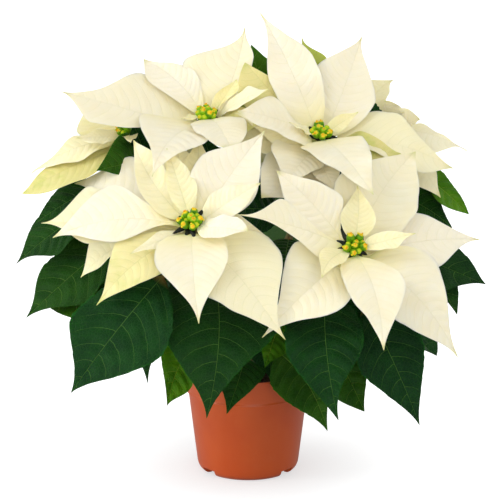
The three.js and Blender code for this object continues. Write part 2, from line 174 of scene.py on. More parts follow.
def rounded(corners, step=4.0):
    """An outline through corners (across, up, rounding). Each corner becomes a parabola that starts and
    ends its rounding away from it, and the straights between get a point every step."""
    spots = np.array([c[:2] for c in corners], float)
    points = [spots[0]]
    for before, corner, after, (_, _, size) in zip(spots, spots[1:], spots[2:], corners[1:]):
        into, out_of = before - corner, after - corner
        start = corner + into * min(size / np.linalg.norm(into), 0.5)
        end = corner + out_of * min(size / np.linalg.norm(out_of), 0.5)
        straight = np.linspace(points[-1], start, max(2, int(np.linalg.norm(start - points[-1]) / step)))
        u = np.linspace(0, 1, 6)[:, None]
        points += [*straight[1:], *((1 - u) ** 2 * start + 2 * u * (1 - u) * corner + u**2 * end)[1:]]
    return np.array([*points, spots[-1]])


def skin(rows, ring, first):
    """The quads of a closed tube of rows of ring points, numbered from first, and its two end faces.
    Each ring runs clockwise when it is seen from the last row, so that the faces point outwards."""
    i, j = np.meshgrid(np.arange(rows - 1), np.arange(ring), indexing="ij")
    after = (j + 1) % ring
    quads = np.stack([i * ring + j, (i + 1) * ring + j, (i + 1) * ring + after, i * ring + after], -1)
    last = first + (rows - 1) * ring
    caps = [list(range(first, first + ring)), list(range(last, last + ring))[::-1]]
    return quads.reshape(-1, 4) + first, caps


def piece(name, parts, material, replaces=(), crease=None):
    """One object made of closed tubes. A part is a dictionary with its points (rows, ring, 3) in
    millimetres, maps (named UV places, rows by ring by 2), a shift of the first number of each map for
    each column of faces, and marks (named values for its points)."""
    quads, ends, points, first = [], [], [], 0
    for part in parts:
        rows, ring = part["points"].shape[:2]
        faces, caps = skin(rows, ring, first)
        quads.append(faces)
        ends += caps
        points.append(part["points"].reshape(-1, 3))
        first += rows * ring
    points = np.concatenate(points)
    quads = np.concatenate(quads)
    mesh = bpy.data.meshes.new(name)
    mesh.from_pydata(points * 0.001, [], quads.tolist() + ends)
    corners = np.concatenate([quads.ravel(), *[np.array(e) for e in ends]]).astype(int)
    for key in parts[0].get("maps", {}):
        places = np.concatenate([part["maps"][key].reshape(-1, 2) for part in parts])[corners]
        shifts = [np.repeat(np.tile(p["shift"][key], p["points"].shape[0] - 1), 4) for p in parts]
        places[: quads.size, 0] += np.concatenate(shifts)
        mesh.uv_layers.new(name=key).data.foreach_set("uv", places.astype(np.float32).ravel())
    for key in parts[0].get("marks", {}):
        values = [np.broadcast_to(part["marks"][key], part["points"].shape[:2]).ravel() for part in parts]
        attribute = mesh.attributes.new(key, "FLOAT", "POINT")
        attribute.data.foreach_set("value", np.concatenate(values).astype(np.float32))
    mesh.shade_smooth()
    if crease is not None:
        mesh.set_sharp_from_angle(angle=np.radians(crease))
    mesh.materials.append(material)
    made = bpy.data.objects.new(name, mesh)
    scene.collection.objects.link(made)
    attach(made, "root")
    if replaces:
        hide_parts(*replaces)
    return made


def turned(outline, angles):
    """An outline of (radius, height) points carried round the Z axis. The angles run clockwise."""
    radius, height = outline[:, 0, None], outline[:, 1, None]
    return np.stack([radius * np.cos(angles), radius * np.sin(angles), height + 0 * angles], -1)


def clockwise(count):
    """The angles of that many points round a circle, clockwise."""
    return np.linspace(2 * np.pi, 0, count, endpoint=False)


def cut_holes(thing, holes, material):
    """Cuts closed tubes out of a piece and keeps the result as its mesh."""
    cutter = piece("cutter", holes, material)
    cut = thing.modifiers.new("cut", "BOOLEAN")
    cut.object = cutter
    cut.solver = "EXACT"
    bpy.context.view_layer.update()
    whole = thing.evaluated_get(bpy.context.evaluated_depsgraph_get())
    mesh = bpy.data.meshes.new_from_object(whole)
    mesh.name = thing.name
    thing.modifiers.clear()
    thing.data = mesh
    bpy.data.objects.remove(cutter)


def maths(tree, operation, first, second, third=0.0):
    """The result of one arithmetic step on values or outputs."""
    return node(tree, "Math", {0: first, 1: second, 2: third}, operation=operation).outputs[0]


def scaled(tree, value, factor, plus=0.0):
    """A value times a factor, with something added."""
    return maths(tree, "MULTIPLY_ADD", value, factor, plus)


def mixed(tree, share, first, second):
    """The first colour, turned into the second by a share from 0 to 1. A colour is an output, or three
    screen values."""
    first, second = (colour(*c) if isinstance(c, tuple) else c for c in (first, second))
    return node(tree, "Mix", {0: share, 6: first, 7: second}, data_type="RGBA").outputs[2]


def rising(tree, value, low, high):
    """A smooth step from 0 at low to 1 at high."""
    return ranged(tree, value, low, high, 0.0, 1.0, "SMOOTHSTEP")


def falling(tree, value, low, high):
    """A smooth step from 1 at low to 0 at high."""
    return ranged(tree, value, low, high, 1.0, 0.0, "SMOOTHSTEP")


def layered(tree, body, *layers):
    """A colour with others laid over it in turn. A layer is a mask from 0 to 1, the share of the colour
    under it that it hides where its mask is 1, and its own colour."""
    for mask, share, paint in layers:
        body = mixed(tree, scaled(tree, mask, share), body, paint)
    return body


def speckle(tree, size, detail=3.0):
    """Soft noise from 0 to 1 with spots of about that size in millimetres."""
    inputs = {"Vector": node(tree, "TexCoord").outputs["Object"], "Scale": 1000 / size, "Detail": detail}
    return node(tree, "TexNoise", inputs).outputs[0]


def spots(tree, size, detail, low, high):
    """A mask of soft spots of about that size in millimetres."""
    return rising(tree, speckle(tree, size, detail), low, high)


def dress(tree, shader, body, height, depth, roughness=None):
    """Gives the shader its colour, a bump whose highest places stand depth millimetres proud, and its
    roughness where that varies."""
    bump = node(tree, "Bump", {"Strength": 1.0, "Distance": depth * 0.001, "Height": height})
    tree.links.new(body, shader.inputs["Base Color"])
    tree.links.new(bump.outputs[0], shader.inputs["Normal"])
    if roughness is not None:
        tree.links.new(roughness, shader.inputs["Roughness"])


def moulded_plastic():
    """Terracotta-coloured polypropylene: even colour with faint flow marks, a satin skin, and a slight
    bloom where it curves away."""
    material, tree, shader = surface(
        "moulded terracotta plastic", IOR=1.5, Specular_IOR_Level=0.5, Sheen_Weight=0.1)
    body = layered(
        tree, (195, 76, 17),
        (spots(tree, 45, 2.0, 0.35, 0.65), 1.0, (200, 82, 21)),
        (spots(tree, 7, 5.0, 0.5, 0.8), 0.25, (200, 91, 40)))
    matt = scaled(tree, speckle(tree, 14, 4.0), 0.12, 0.3)
    dress(tree, shader, body, speckle(tree, 1.1, 2.0), 0.02, matt)
    return material


pot_outline = rounded([
    (0.5, floor_underside, 0),
    (foot_inner_radius, floor_underside, 0.8),
    (foot_inner_radius, 0, 0.6),
    (foot_flat_radius, 0, 1.2),
    (wall_radius(0) - foot_corner_inset, 2, 2),
    (wall_radius(foot_corner_height), foot_corner_height, 4),
    (wall_radius(rim_band_bottom), rim_band_bottom, 0.4),
    (rim_band_radius + bead_size, rim_band_bottom, 0.5),
    (rim_band_radius + bead_size, rim_band_bottom + bead_height, 0.5),
    (rim_band_radius, rim_band_bottom + bead_height + bead_slope, 0.4),
    (rim_top_radius, pot_height, 0.7),
    (rim_top_radius - pot_wall, pot_height, 0.7),
    (rim_band_radius - pot_wall, rim_band_bottom + pot_wall, 1),
    (wall_radius(rim_band_bottom) - pot_wall, rim_band_bottom, 1),
    (wall_radius(floor_top) - pot_wall, floor_top, 2),
    (0.5, floor_top, 0),
])
notch_middles = np.radians([38, 142, 218, 322])
notch_half_angle = np.arcsin(notch_width / 2 / foot_flat_radius)
notch_edges = notch_half_angle + np.array([0, 0.01])
notch_sides = [middle + side * notch_edges for middle in notch_middles for side in (-1, 1)]
pot_angles = np.concatenate([np.linspace(0, 2 * np.pi, 240, endpoint=False), *notch_sides])
pot_angles = np.sort(pot_angles)[::-1]
pot_points = turned(pot_outline, pot_angles)
off_middle = np.abs((pot_angles[:, None] - notch_middles + np.pi) % (2 * np.pi) - np.pi).min(1)
in_notch = off_middle < notch_half_angle + 0.005
lifted = np.maximum(pot_points[..., 2], notch_height)
outer_rows = (np.arange(len(pot_outline)) > 0)[:, None]
pot_points[..., 2] = np.where(in_notch & outer_rows, lifted, pot_points[..., 2])
plastic = moulded_plastic()
pot = piece("nursery_pot", [{"points": pot_points}], plastic, ["pot"])
below, above = floor_underside - 2, floor_top + 2
hole_corners = [(0.01, below), (drain_hole_radius, below), (drain_hole_radius, above), (0.01, above)]
hole = turned(np.array(hole_corners), clockwise(32))
hole_angles = np.radians(np.arange(0, 360, 45))
hole_middles = [drain_circle_radius * np.array([np.cos(a), np.sin(a), 0]) for a in hole_angles]
cut_holes(pot, [{"points": hole + middle} for middle in hole_middles], plastic)
pot.data.set_sharp_from_angle(angle=np.radians(pot_crease))


# ----------
# Soil. Dark peat compost that fills the pot to a finger's width under its rim, heaped a little round
# the trunk. Its top is crumbly, with peat lumps and a few pale grains of perlite lying on it.
soil_at_wall = 91
soil_at_trunk = 94
soil_gap = 0.3
crumb_count = 220
crumb_reach = 55
perlite_share = 0.2


def lumps(x, y, size, seed):
    """Smooth random heights from -1 to 1: a grid of random numbers with cells of that size, blended
    between the four nearest by smooth steps."""
    grid = np.random.default_rng(seed).uniform(-1, 1, (64, 64))
    column, row = x / size, y / size
    c, r = np.floor(column).astype(int), np.floor(row).astype(int)
    u, v = column - c, row - r
    u, v = u * u * (3 - 2 * u), v * v * (3 - 2 * v)
    near = grid[r % 64, c % 64] * (1 - u) + grid[r % 64, (c + 1) % 64] * u
    far = grid[(r + 1) % 64, c % 64] * (1 - u) + grid[(r + 1) % 64, (c + 1) % 64] * u
    return near * (1 - v) + far * v


def facing(axis):
    """Two unit vectors across an axis: one to its right and one up, for an axis that looks at you."""
    axis = np.array(axis, float) / np.linalg.norm(axis)
    up = np.array([0.0, 0.0, 1.0]) - axis[2] * axis
    up = up / np.linalg.norm(up) if np.linalg.norm(up) > 1e-6 else np.array([0.0, 1.0, 0.0])
    return np.cross(up, axis), up, axis


def outward(turn, right, up):
    """The unit vectors at angles that run from right to up."""
    return np.cos(turn) * right + np.sin(turn) * up


def bead(middle, axis, across, along, rows, ring):
    """An egg round an axis: rings of radius across * sin(a) at heights along * -cos(a), a from 0 to pi.
    The second half is a little slimmer than the first."""
    right, up, axis = facing(axis)
    a = np.linspace(0.06, np.pi - 0.06, rows)[:, None, None]
    girth = across * np.sin(a) * (1 - 0.12 * np.cos(np.pi - a))
    return middle + girth * outward(clockwise(ring)[None, :, None], right, up) - along * np.cos(a) * axis


def mark(tree, name):
    """A named value of the piece's own points."""
    return node(tree, "Attribute", attribute_name=name).outputs["Fac"]


def peat():
    """Moist peat: dark brown crumbs with lighter fibres; grains marked as perlite are off-white."""
    material, tree, shader = surface("peat compost", Roughness=0.95, Specular_IOR_Level=0.15)
    coarse, fine = speckle(tree, 3.0, 5.0), speckle(tree, 0.7, 3.0)
    body = layered(
        tree, (34, 24, 17),
        (rising(tree, coarse, 0.35, 0.65), 1.0, (70, 51, 36)),
        (rising(tree, fine, 0.6, 0.72), 0.7, (112, 86, 58)),
        (mark(tree, "perlite"), 1.0, (206, 203, 190)))
    dress(tree, shader, body, maths(tree, "ADD", coarse, fine), 0.8)
    return material


def heap(radius):
    """The height of the soil's top at a radius."""
    return soil_at_trunk - (soil_at_trunk - soil_at_wall) * (radius / soil_inside) ** 2


soil_inside = wall_radius(rim_band_bottom) - pot_wall - soil_gap
soil_bottom_inside = wall_radius(floor_top) - pot_wall - soil_gap
soil_outline = np.array([
    (0.5, floor_top + soil_gap),
    (soil_bottom_inside, floor_top + soil_gap),
    (soil_inside, rim_band_bottom),
    (soil_inside, soil_at_wall - 2),
    *[(radius, heap(radius)) for radius in np.arange(56.5, 0.4, -1)],
])
soil_points = turned(soil_outline, clockwise(180))
top_rows = slice(4, None)
across, deep = soil_points[top_rows, :, 0], soil_points[top_rows, :, 1]
for seed, (height, size) in enumerate([(1.3, 9), (0.8, 3.6), (0.4, 1.7)], 1):
    soil_points[top_rows, :, 2] += height * lumps(across, deep, size, seed)
chance = np.random.default_rng(11)
soil_parts = [{"points": soil_points, "marks": {"perlite": 0.0}}]
for _ in range(crumb_count):
    angle, radius = chance.uniform(0, 2 * np.pi), crumb_reach * np.sqrt(chance.uniform(0.03, 1))
    height = heap(radius) + chance.uniform(-0.3, 0.9)
    size = chance.uniform(0.7, 2.1)
    lump = bead(np.array([radius * np.cos(angle), radius * np.sin(angle), height]), chance.normal(size=3),
                size, size * chance.uniform(0.7, 1.5), 5, 7)
    lump += chance.normal(0, 0.12 * size, lump.shape)
    soil_parts.append({"points": lump, "marks": {"perlite": float(chance.uniform() < perlite_share)}})
piece("compost", soil_parts, peat(), ["soil"])


# ----------
# Stems. A short brown trunk rooted in the compost carries one green branch for each flower head. A
# branch bows out of the trunk, swells slightly at its knots, and runs straight to the head.
# Each head: the middle of its cluster, and the way that it looks.
heads = {
    "front_left": ((-53, -95, 272), (-0.12, -0.7, 0.7)),
    "front_right": ((98, -100, 250), (0.12, -0.72, 0.68)),
    "top_left": ((-40, 30, 350), (-0.1, -0.35, 0.93)),
    "top_right": ((70, 15, 335), (0.05, -0.5, 0.86)),
    "far_left": ((-119, 45, 330), (-0.5, -0.1, 0.85)),
    "far_right": ((145, 75, 338), (0.5, 0.1, 0.85)),
    "back": ((5, 135, 305), (0, 0.6, 0.8)),
}
trunk_heights = (45, 116)
trunk_radii = (8.0, 6.5)
branch_start = 105
branch_bow_height = 190
branch_radius = 3.6
neck_length = 36
neck_curve = 30
cluster_seat = 5.3


def unit(v):
    """The vector or vectors with length 1."""
    v = np.asarray(v, float)
    return v / np.linalg.norm(v, axis=-1, keepdims=True)


def on_branch(head, share):
    """The point at a share of a branch's bowed part: a cubic Bezier curve from the trunk's top, past a
    point a quarter of the way out, to the straight neck under the head."""
    middle, looks = np.array(heads[head][0], float), unit(heads[head][1])
    out = np.array([middle[0] / 4, middle[1] / 4, branch_bow_height])
    start, end = np.array([0, 0, branch_start]), middle - neck_length * looks
    corners = [start, out, end - neck_curve * looks, end]
    t = np.asarray(share, float)[..., None]
    weights = [(1 - t) ** 3, 3 * (1 - t) ** 2 * t, 3 * (1 - t) * t**2, t**3]
    return sum(w * c for w, c in zip(weights, corners))


def tube(path, radius, ring=14):
    """Rings of a radius round each point of a path, square to it."""
    along = unit(np.gradient(path, axis=0))
    run = path[-1] - path[0]
    side = np.eye(3)[np.argmin(np.abs(run))]
    right = unit(np.cross(along, side))
    up = np.cross(along, right)
    spoke = outward(clockwise(ring)[None, :, None], right[:, None], up[:, None])
    return path[:, None] + radius[:, None, None] * spoke


def green_stem():
    """Stem skin: grey-brown bark low down, green with a brown flush higher up, and small pale pores."""
    material, tree, shader = surface("poinsettia stem", Roughness=0.55)
    place = node(tree, "SeparateXYZ", {0: node(tree, "TexCoord").outputs["Object"]})
    height = scaled(tree, speckle(tree, 25), 0.03, place.outputs[2])
    green = mixed(tree, spots(tree, 12, 3.0, 0.35, 0.7), (88, 118, 52), (128, 110, 66))
    body = layered(
        tree, (92, 76, 52),
        (spots(tree, 2.5, 4.0, 0.35, 0.65), 1.0, (142, 124, 92)),
        (rising(tree, height, 0.125, 0.185), 1.0, green),
        (spots(tree, 1.6, 1.0, 0.68, 0.74), 0.6, (178, 172, 130)))
    dress(tree, shader, body, speckle(tree, 2.2, 4.0), 0.25)
    return material


trunk_path = np.linspace((0, 0, trunk_heights[0]), (0, 0, trunk_heights[1]), 40)
trunk_radius = np.interp(trunk_path[:, 2], trunk_heights, trunk_radii)
trunk_points = tube(trunk_path, trunk_radius, 24)
knobs = lumps(trunk_points[..., 0] * 4 + 50, trunk_points[..., 2], 9, 5)
trunk_points[..., :2] *= 1 + 0.07 * knobs[..., None]
stem_parts = [{"points": trunk_points}]
for number, (head, (middle, looks)) in enumerate(heads.items()):
    neck_end = np.array(middle, float) - cluster_seat * unit(looks)
    bowed = on_branch(head, np.linspace(0, 1, 70))
    neck = np.linspace(bowed[-1], neck_end, 20)[1:]
    path = np.concatenate([bowed, neck])
    share = np.linspace(0, 1, len(path))
    knots = np.random.default_rng(20 + number).uniform(0.15, 0.75, 5)
    swelling = sum(np.exp(-(((share - k) / 0.012) ** 2)) for k in knots)
    girth = branch_radius * (1.12 - 0.14 * share) * (1 + 0.13 * swelling)
    stem_parts.append({"points": tube(path, girth)})
piece("stems_and_trunk", stem_parts, green_stem(), ["stems"])


# ----------
# Bracts. Each flower head has a whorl of cream modified leaves round its stem. A bract is a third of a
# millimetre thick, with a midrib that stands out underneath and pleats between its side veins. It grows
# out of the stem by a short stalk.
stalk_foot = 3.2
blade_skin = 0.17
blade_crease = 50
fine_grid, coarse_grid = (64, 12), (32, 8)
small_half_width = 14
left_vein_shift = 0.45


def profile(x, widest, belly, point):
    """Width at a share x of the blade, 1 at the widest place. It rises as sin(pi/2 (x / widest)^belly)
    and falls as sin(pi/2 ((1 - x) / (1 - widest))^point)."""
    rise = np.sin(np.pi / 2 * np.clip(x / widest, 0, 1) ** belly)
    fall = np.sin(np.pi / 2 * np.clip((1 - x) / (1 - widest), 0, 1) ** point)
    return np.where(x < widest, rise, fall)


def blade(base, tip, looks, arch, left, right, seed, stalk=0.08, bend=0, fold=0.1, cup=0.0, age=0.0,
          pleat=0.16, wave=1.2, stalk_width=1.4, veins=12, teeth=0.0):
    """A bract or leaf as a closed skin. Its midrib is base + (tip - base) t, raised by arch * 4v(1 - v)
    with v = t^0.85 and bowed sideways by bend * 4t(1 - t). Across it, s runs from -1 to 1. A side is
    half * profile(x) wide, up to 3 % more or less so that no outline is even, and cut back by its teeth.
    It lies fold * |s| + cup * s^2 of that width above the midrib, with pleats between the side veins and
    waves at the margin. left and right: half width, where it is widest, belly and point, or a half width
    alone. Without a right, both halves are alike."""
    right = left if right is None else right
    rows, columns = fine_grid if max(np.max(left), np.max(right)) > small_half_width else coarse_grid
    chance = np.random.default_rng(seed)
    left, right = ((m, 0.4, 0.9, 1.4) if np.isscalar(m) else m for m in (left, right))
    base, tip = np.array(base, float), np.array(tip, float)
    along, length = unit(tip - base), np.linalg.norm(tip - base)
    up = unit(np.array(looks, float) - (np.array(looks, float) @ along) * along)
    aside = np.cross(up, along)
    t = np.linspace(0, 1, rows + 1)[:, None]
    top = np.linspace(-1, 1, 2 * columns + 1)
    s = np.concatenate([top, top[-2:0:-1]])[None, :]
    under = np.concatenate([np.zeros(len(top)), np.ones(len(top) - 2)])[None, :]
    x = np.clip((t - stalk) / (1 - stalk), 0, 1)
    near_stalk = np.clip(1 - x / 0.25, 0, 1)
    half = np.where(s > 0, left[0] * profile(x, *left[1:]), right[0] * profile(x, *right[1:]))
    notch = (veins * 1.6 * x + 0.3 * (s > 0)) % 1
    uneven = lumps(x * length, 30 * (s > 0) + 0 * x, 13, seed + 50)
    half = half * (1 + 0.03 * uneven - teeth * (1 + uneven) * notch * (x > 0.15) * (x < 0.9))
    half = half + stalk_width * near_stalk + 0.5 - 0.3 * (t > 0.99)
    v = t**0.85
    rib = base + (tip - base) * t + up * arch * 4 * v * (1 - v) + aside * bend * 4 * t * (1 - t)
    course = unit(np.gradient(rib, axis=0))
    normal = unit(np.cross(course, np.broadcast_to(aside, course.shape)))
    lean = np.clip(half / (length * (1 - stalk)), 0, 0.4) * 0.75
    phase = veins * (x - lean * np.abs(s) ** 1.7)
    offset = np.where(s > 0, left_vein_shift, 0.0)
    edge = np.abs(s)
    body = np.sin(np.pi * np.clip(x, 0, 1)) ** 0.6
    ridges = -pleat * body * np.sin(np.pi * edge**0.8) * np.cos(2 * np.pi * (phase + offset))
    beat, shift = chance.uniform(1.6, 3.2, 2), chance.uniform(0, 6.3, 2)
    side = (s > 0).astype(int)
    ripple = wave * body * edge**3 * np.sin(2 * np.pi * beat[side] * x + shift[side])
    swell = 0.8 * lumps(x * length, half * s + 40, 24, seed) * body * edge
    lie = half * (fold * edge + cup * s**2) + ridges + ripple + swell
    sheet = blade_skin * np.sqrt(np.clip(1 - s**8, 0, 1))
    round_stalk = 1.25 * near_stalk**2 * np.sqrt(np.clip(1 - s**2, 0, 1))
    rib_size = 0.25 + 0.75 * (1 - x)
    keel = rib_size * np.exp(-((half * s / (0.8 * rib_size)) ** 2))
    groove = -(0.06 + 0.4 * pleat) * np.exp(-((half * s / 0.9) ** 2)) * (x > 0)
    skin_height = np.where(under > 0, -sheet - round_stalk - keel * (x > 0), sheet + round_stalk + groove)
    height = (lie + skin_height)[..., None]
    points = rib[:, None] + aside * (s * half)[..., None] + normal[:, None] * height
    whole = np.zeros_like(half)
    return {
        "points": points,
        "maps": {
            "blade": np.stack([edge + whole, x + whole], -1),
            "veins": np.stack([phase, edge * half * 0.1], -1),
        },
        "shift": {"blade": np.zeros(s.size), "veins": offset_of_columns(s[0])},
        "marks": {"age": age, "tone": chance.uniform(), "underside": under + whole,
                  "stalk": np.clip(1 - x / 0.06, 0, 1) + whole},
    }


def offset_of_columns(s):
    """The side veins of the left half leave the midrib a little after those of the right half. The shift
    belongs to the columns of faces, so that the midrib is a clean seam between them."""
    return np.where((s + np.roll(s, -1)) / 2 > 0, left_vein_shift, 0.0)


def effect(name, inputs, outputs):
    """A shader node group whose inputs (name: value) and outputs (names) are all numbers."""
    group = bpy.data.node_groups.new(name, "ShaderNodeTree")
    for key, value in inputs.items():
        socket = group.interface.new_socket(key, in_out="INPUT", socket_type="NodeSocketFloat")
        socket.default_value = value
    for key in outputs:
        group.interface.new_socket(key, in_out="OUTPUT", socket_type="NodeSocketFloat")
    return group, group.nodes.new("NodeGroupInput").outputs, group.nodes.new("NodeGroupOutput").inputs


def vein_effect():
    """Veins of a blade from its two maps. 'blade' holds the share across and along it. 'veins' holds a
    number that is whole on each side vein, and the distance from the midrib in centimetres."""
    start = {"Rib width": 0.9, "Vein width": 0.05, "Net size": 2.4}
    ends = ["Midrib", "Side veins", "Net", "Height", "Along"]
    group, given, result = effect("Veins of a blade", start, ends)
    maps = [node(group, "UVMap", uv_map=name).outputs[0] for name in ("blade", "veins")]
    blade_place, vein_place = (node(group, "SeparateXYZ", {0: place}).outputs for place in maps)
    across, along = blade_place[0], blade_place[1]
    away = scaled(group, vein_place[1], 10.0)
    rib = scaled(group, given["Rib width"], scaled(group, along, -0.75, 1.0))
    midrib = falling(group, maths(group, "DIVIDE", away, rib), 0.25, 1.0)
    wobble = scaled(group, speckle(group, 9, 2.0), 0.14, -0.07)
    off = maths(group, "PINGPONG", maths(group, "ADD", vein_place[0], wobble), 0.5)
    width = scaled(group, given["Vein width"], scaled(group, across, -0.6, 1.1))
    line = falling(group, maths(group, "DIVIDE", off, width), 0.3, 1.0)
    side = scaled(group, line, falling(group, across, 0.78, 0.96))
    net_inputs = {"Vector": node(group, "TexCoord").outputs["Object"],
                  "Scale": maths(group, "DIVIDE", 1000.0, given["Net size"])}
    net = node(group, "TexVoronoi", net_inputs, feature="DISTANCE_TO_EDGE")
    threads = falling(group, net.outputs[0], 0.02, 0.12)
    sunk = scaled(group, side, 0.6, midrib)
    sunk = scaled(group, threads, 0.3, sunk)
    pillow = scaled(group, rising(group, off, 0.0, 0.5), 0.5)
    height = maths(group, "SUBTRACT", pillow, sunk)
    for name, output in zip(ends, (midrib, side, threads, height, along)):
        group.links.new(output, result[name])
    return group


def apply_effect(tree, group, **values):
    """Places an effect in a material with its own values."""
    made = node(tree, "Group", node_tree=group)
    for key, value in values.items():
        made.inputs[key.replace("_", " ")].default_value = value
    return made.outputs


def veins_shown(tree, vein, shares):
    """A mask of a blade's veins: at each place the strongest, each kind of vein times its share."""
    shown = 0.0
    for name, share in shares.items():
        shown = maths(tree, "MAXIMUM", shown, scaled(tree, vein[name], share))
    return shown


veins_of_a_blade = vein_effect()


def cream_bract():
    """A mature bract is warm cream with a slightly green point and faint veins. Young bracts, marked by
    age, are pale yellow-green with clearer veins. Light passes through the thin blade."""
    material, tree, shader = surface(
        "cream bract", Roughness=0.52, IOR=1.4, Subsurface_Weight=1.0,
        Subsurface_Radius=(1.0, 0.96, 0.8), Subsurface_Scale=0.00025)
    vein = apply_effect(tree, veins_of_a_blade, Rib_width=0.6, Vein_width=0.06, Net_size=2.2)
    age = mark(tree, "age")
    green_cloud = scaled(tree, spots(tree, 16, 3.0, 0.45, 0.75), rising(tree, age, 0.4, 1.0))
    lines = veins_shown(tree, vein, {"Midrib": 0.3, "Side veins": 0.22, "Net": 0.05})
    line_green = mixed(tree, age, (234, 229, 184), (176, 190, 84))
    body = layered(
        tree, (248, 240, 215),
        (spots(tree, 22, 3.0, 0.3, 0.7), 1.0, (245, 236, 205)),
        (mark(tree, "tone"), 0.6, (248, 239, 223)),
        (falling(tree, vein["Along"], 0.0, 0.35), 0.7, (247, 234, 172)),
        (age, 1.3, (249, 239, 187)),
        (rising(tree, age, 0.55, 1.0), 0.8, (217, 209, 132)),
        (rising(tree, age, 1.0, 1.5), 1.0, (172, 182, 72)),
        (rising(tree, vein["Along"], 0.9, 1.0), 0.65, (206, 208, 118)),
        (green_cloud, 0.5, (188, 200, 96)),
        (mark(tree, "underside"), 0.35, (240, 238, 190)),
        (lines, 1.0, line_green),
        (mark(tree, "stalk"), 0.7, (196, 206, 110)))
    dress(tree, shader, body, vein["Height"], 0.2)
    return material


def bract(down, tip, looks, arch, left, right=None, **more):
    """One bract of a whorl: how far down the stem it grows, its tip, the way that its upper side looks,
    how far it arches, and its left and right halves as blade() takes them."""
    return {"down": down, "tip": tip, "looks": looks, "arch": arch, "left": left, "right": right, **more}


def grown(head, down, tip, seed, **more):
    """The skin of a bract whose stalk leaves the stem on the side of its tip."""
    middle, looks = np.array(heads[head][0], float), unit(heads[head][1])
    way = np.array(tip, float) - middle
    foot = middle - down * looks + stalk_foot * unit(way - (way @ looks) * looks)
    return blade(foot, tip, seed=seed, **more)


def whorl(head, large, small):
    """Makes the bracts of a head: a piece for each large one, and one piece for all the small ones."""
    order = list(heads).index(head)
    for number, row in enumerate(large, 1):
        skin_of_bract = grown(head, seed=100 * order + number, **row)
        piece(f"cream_bract_{head}_{number}", [skin_of_bract], bract_material,
              [f"bract_{head}_{number}"], crease=blade_crease)
    inner = [grown(head, seed=1000 + 100 * order + number, **row) for number, row in enumerate(small)]
    piece(f"inner_bracts_{head}", inner, bract_material, crease=blade_crease)


bract_material = cream_bract()
whorl("front_left", [
    bract(13, (-44, -172, 195), (0, -.7, .7), 12, (32, .35, .5, 1.5), (35, .35, .5, 1.8), bend=-2),
    bract(14, (-182, -80, 252), (-.1, -.8, .6), 8, (24, .5, 1.7, 1.7), (33, .5, 1.6, 1.3), bend=-11),
    bract(26, (-195, -50, 259), (-.1, -.6, .8), 8, (27, .6, .9, 1.9), (40, .7, 1.6, 2.3), age=.3),
    bract(33, (-168, 15, 283), (-.2, -.6, .8), 8, (36, .4, .9, 1.9), (41, .7, .6, 1.35), bend=-6,
          pleat=.22),
    bract(11, (-108, -30, 335), (.2, -.9, .3), 4, (17, .35, .5, 1.4), (16, .65, 1.1, 1.4), bend=8,
          cup=.25, age=.3),
    bract(18, (16, -45, 347), (0, -.9, .5), 6, (32, .45, .5, 1.8), 31, bend=1),
    bract(14, (12, -88, 306), (0, -.8, .5), 4, (15, .4, .9, 1.3), (14, .55, .9, 1.3), bend=1, age=.1),
    bract(10, (0, -128, 270), (0, -.7, .7), 5, (13, .55, .9, .7), (14, .4, .9, 1.2), bend=-2),
    bract(24, (34, -165, 178), (.3, -.8, .6), 12, (48, .4, .5, 2), (48, .3, .9, 1.4), age=.3),
    bract(19, (-139, -125, 199), (-.2, -.7, .6), 8, 26, (27, .5, .9, 2), bend=-6, age=.75),
    bract(38, (-158, -62, 209), (-.3, -.7, .7), 12, (8, .7, .6, 1.2), (33, .65, 1.2, 1.8), bend=-15,
          stalk=.35, age=.4),
], [
    bract(9, (-76, -50, 331), (.1, -.9, .4), 4, 12, (15, .45, .8, 1.3), age=.5),
    bract(20, (-46, -15, 335), (0, -.9, .4), 3, (20, .4, .7, 1.4), 19, age=.45),
    bract(28, (20, -80, 252), (.1, -.8, .6), 5, 22, 20, age=.3),
    bract(16, (-108, -118, 246), (-.1, -.7, .7), 3, 8, age=.3),
    bract(24, (-68, -5, 325), (0, -.9, .4), 2, (19, .6, .9, .9), (16, .6, .9, .9), age=.4),
])
whorl("front_right", [
    bract(21, (13, -138, 172), (-.2, -.8, .6), 9, (40, .35, .6, 1.7), (39, .2, .9, 1.9), fold=.25,
          pleat=.38),
    bract(11, (-8, -118, 283), (0, -.8, .5), 5, (20, .2, .5, 2.6), (21, .65, 2.2, 2.4), bend=-4, age=.1),
    bract(15, (27, -62, 312), (-.1, -.9, .3), 2, (23, .45, 1.2, 1.1), (24, .35, 2.2, 1.2), bend=-4,
          cup=.1, pleat=.28),
    bract(9, (102, -72, 300), (0, -1, .2), 2, 16, bend=-3, cup=.2, age=.5),
    bract(25, (159, -26, 323), (.2, -.9, .4), 5, (43, .4, .8, 1.3), (37, .5, .6, 1.2), bend=8, age=.1,
          pleat=.44),
    bract(31, (220, -48, 242), (.1, -.8, .6), 6, (29, .45, .9, 1.5), (28, .55, .9, 1.9), bend=6,
          pleat=.22),
    bract(18, (193, -135, 152), (.3, -.8, .6), 15, (38, .35, .5, 1.8), (34, .5, .9, 1.5), bend=8,
          fold=.12, pleat=.44),
    bract(10, (122, -182, 173), (.1, -.7, .7), 12, (29, .4, .9, 1.5), (25, .35, .5, 1.4), bend=5),
], [
    bract(7, (67, -150, 232), (-.1, -.8, .6), 3, (11, .4, .9, 1.3), 12, bend=-6, age=.6),
    bract(8, (154, -112, 264), (.1, -.8, .6), 4, (9, .45, .9, 1.6), (9, .65, .8, 2.5), bend=-1, age=.45),
])
